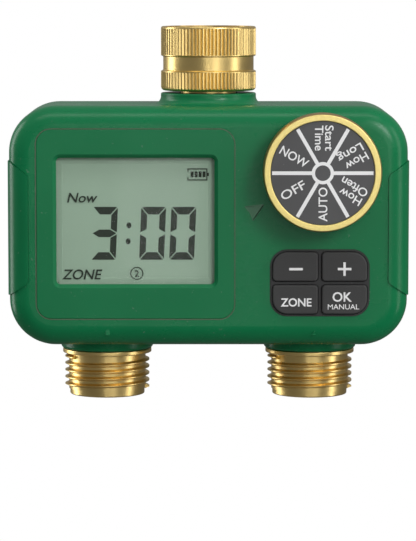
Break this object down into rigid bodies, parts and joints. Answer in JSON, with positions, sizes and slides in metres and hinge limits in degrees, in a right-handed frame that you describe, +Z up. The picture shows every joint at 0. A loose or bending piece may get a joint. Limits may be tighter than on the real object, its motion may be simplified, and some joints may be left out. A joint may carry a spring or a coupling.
{
  "type": "drip irrigation timer",
  "caption": "Battery-powered drip irrigation hose timer: flat green case with display, rotary selector, rubber keys, brass swivel inlet on top and male hose-thread outlets below.",
  "frame": {"origin": "centre of the inlet collar's mouth, on the inlet axis", "axes": "+Z up along the inlet axis, out of the inlet's mouth; the display and the controls face -Y; +X to the right of someone facing them"},
  "size_m": [0.1254, 0.0655, 0.1173],
  "materials": {
    "case_plastic": "fine satin moulded green plastic",
    "grip_plastic": "satin green plastic grip panel",
    "surround_plastic": "satin green plastic panel",
    "window_lens": "clear polished lens",
    "lcd_glass": "grey-green reflective liquid crystal display",
    "dial_plastic": "dark moulded plastic",
    "gold_trim": "satin gold plated ring",
    "label_print": "dark grey printed disc with white dividers",
    "steel": "bright zinc plated steel",
    "black_rubber": "black rubber",
    "key_rubber": "dark grey silicone rubber",
    "black_plastic": "black plastic",
    "board": "green solder mask",
    "brass": "machined brass with a light sheen",
    "white_plastic": "natural moulded plastic",
    "copper_coil": "taped copper winding",
    "lead_insulation": "wire insulation",
    "battery_case": "plain battery sleeve"
  },
  "bodies": {
    "root": {"battery_contacts": "steel", "battery_left": "battery_case", "battery_right": "battery_case", "board_screws": "steel", "bonnet_screws": "steel", "circuit_board": "board", "dial_seal": "black_rubber", "display_surround": "surround_plastic", "display_window": "window_lens", "filter_screen": "steel", "front_shell": "case_plastic", "hinge_pin": "steel", "hose_washer": "black_rubber", "housing_gasket": "black_rubber", "housing_screws": "steel", "inlet_tailpiece": "brass", "keypad_frame": "key_rubber", "keypad_mat": "black_rubber", "lcd_connectors": "black_rubber", "lcd_module": "lcd_glass", "left_bonnet": "white_plastic", "left_coil": "copper_coil", "left_core_tube": "steel", "left_diaphragm": "black_rubber", "left_leads": "lead_insulation", "left_outlet": "brass", "left_side_grip": "grip_plastic", "left_spring": "steel", "manifold": "white_plastic", "outlet_o_rings": "black_rubber", "rear_shell": "case_plastic", "right_bonnet": "white_plastic", "right_coil": "copper_coil", "right_core_tube": "steel", "right_diaphragm": "black_rubber", "right_leads": "lead_insulation", "right_outlet": "brass", "right_side_grip": "grip_plastic", "right_spring": "steel", "rotary_switch": "black_plastic", "tact_switches": "black_plastic", "tailpiece_o_ring": "black_rubber"},
    "inlet_swivel": {"inlet_collar": "brass"},
    "dial": {"dial_knob": "dial_plastic", "dial_ring": "gold_trim", "dial_label": "label_print", "dial_shaft": "steel"},
    "door": {"battery_door": "case_plastic", "door_gasket": "black_rubber", "door_screw": "steel"},
    "minus": {"key_minus": "key_rubber"},
    "plus": {"key_plus": "key_rubber"},
    "zone": {"key_zone": "key_rubber"},
    "ok": {"key_ok": "key_rubber"},
    "left_armature": {"left_plunger": "steel"},
    "right_armature": {"right_plunger": "steel"}
  },
  "joints": [
    {"name": "inlet_swivel_turn", "type": "hinge", "parent": "root", "child": "inlet_swivel", "pos_m": [0, 0, 0], "axis": [0, 0, 1], "continuous": true},
    {"name": "dial_turn", "type": "hinge", "parent": "root", "child": "dial", "pos_m": [0.0351, -0.0245, -0.0444], "axis": [0, -1, 0], "continuous": true},
    {"name": "door_hinge", "type": "hinge", "parent": "root", "child": "door", "pos_m": [0, 0.0284, -0.032], "axis": [1, 0, 0], "range_deg": [0, 110]},
    {"name": "minus_press", "type": "slide", "parent": "root", "child": "minus", "axis": [0, 1, 0], "range_m": [0, 0.0008], "stiffness_N_per_m": 900},
    {"name": "plus_press", "type": "slide", "parent": "root", "child": "plus", "axis": [0, 1, 0], "range_m": [0, 0.0008], "stiffness_N_per_m": 900},
    {"name": "zone_press", "type": "slide", "parent": "root", "child": "zone", "axis": [0, 1, 0], "range_m": [0, 0.0008], "stiffness_N_per_m": 900},
    {"name": "ok_press", "type": "slide", "parent": "root", "child": "ok", "axis": [0, 1, 0], "range_m": [0, 0.0008], "stiffness_N_per_m": 900},
    {"name": "left_armature_lift", "type": "slide", "parent": "root", "child": "left_armature", "axis": [0, 0, 1], "range_m": [0, 0.0015], "stiffness_N_per_m": 300, "springref_m": -0.001, "deforming": ["left_spring"]},
    {"name": "right_armature_lift", "type": "slide", "parent": "root", "child": "right_armature", "axis": [0, 0, 1], "range_m": [0, 0.0015], "stiffness_N_per_m": 300, "springref_m": -0.001, "deforming": ["right_spring"]}
  ]
}
